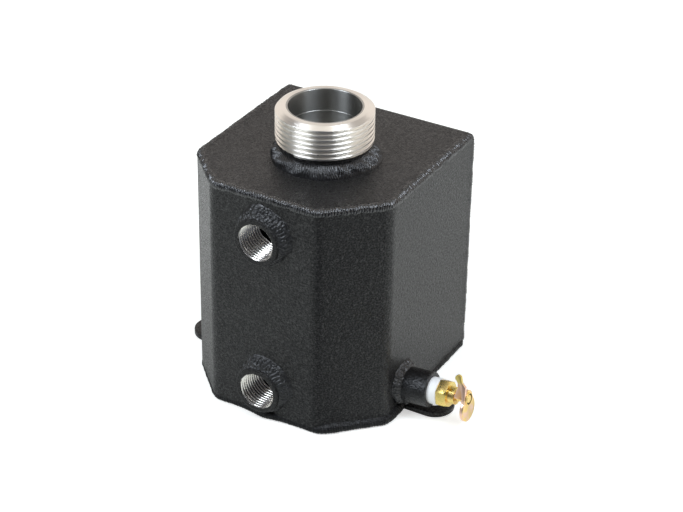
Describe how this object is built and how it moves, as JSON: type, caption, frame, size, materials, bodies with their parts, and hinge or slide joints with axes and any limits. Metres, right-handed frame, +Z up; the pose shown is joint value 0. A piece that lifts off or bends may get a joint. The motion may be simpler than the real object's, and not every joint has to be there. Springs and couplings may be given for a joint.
{
  "type": "coolant tank",
  "caption": "Welded aluminium coolant tank with slanted front corners, threaded filler neck, front pipe ports, side mounting tabs and a brass drain petcock.",
  "frame": {"origin": "middle of the flat base, on its underside", "axes": "+X to the right along the front wall, +Y from the front wall with the ports to the back wall, +Z up along the filler neck"},
  "size_m": [0.1702, 0.1197, 0.1553],
  "materials": {
    "black_coat": "textured satin black powder coat",
    "bare_aluminium": "turned, bare",
    "brass": "machined and stamped, bare",
    "tape": "white sealing tape"
  },
  "bodies": {
    "tank": {"front_wrapper": "black_coat", "folded_channel": "black_coat", "drain_boss": "black_coat", "left_mounting_tab": "black_coat", "right_mounting_tab": "black_coat", "neck_weld": "black_coat", "upper_port_weld": "black_coat", "lower_port_weld": "black_coat", "drain_weld": "black_coat", "top_seam_weld": "black_coat", "bottom_seam_weld": "black_coat", "left_rear_seam_weld": "black_coat", "right_rear_seam_weld": "black_coat", "left_tab_weld": "black_coat", "right_tab_weld": "black_coat", "filler_neck": "bare_aluminium", "upper_port_bung": "bare_aluminium", "lower_port_bung": "bare_aluminium", "thread_tape": "tape", "petcock_body": "brass"},
    "stem": {"petcock_stem": "brass"},
    "handle": {"petcock_handle": "brass"}
  },
  "joints": [
    {"name": "stem_travel", "type": "slide", "parent": "tank", "child": "stem", "axis": [0.9962, 0, 0.0872], "range_m": [0, 0.0025]},
    {"name": "handle_turn", "type": "hinge", "parent": "stem", "child": "handle", "pos_m": [0.09151, -0.0138, 0.01877], "axis": [0.9962, 0, 0.0872], "range_deg": [0, 990]}
  ],
  "couplings": [
    {"joint": "stem_travel", "follows": "handle_turn", "m_per_rad": 0.00014324}
  ]
}
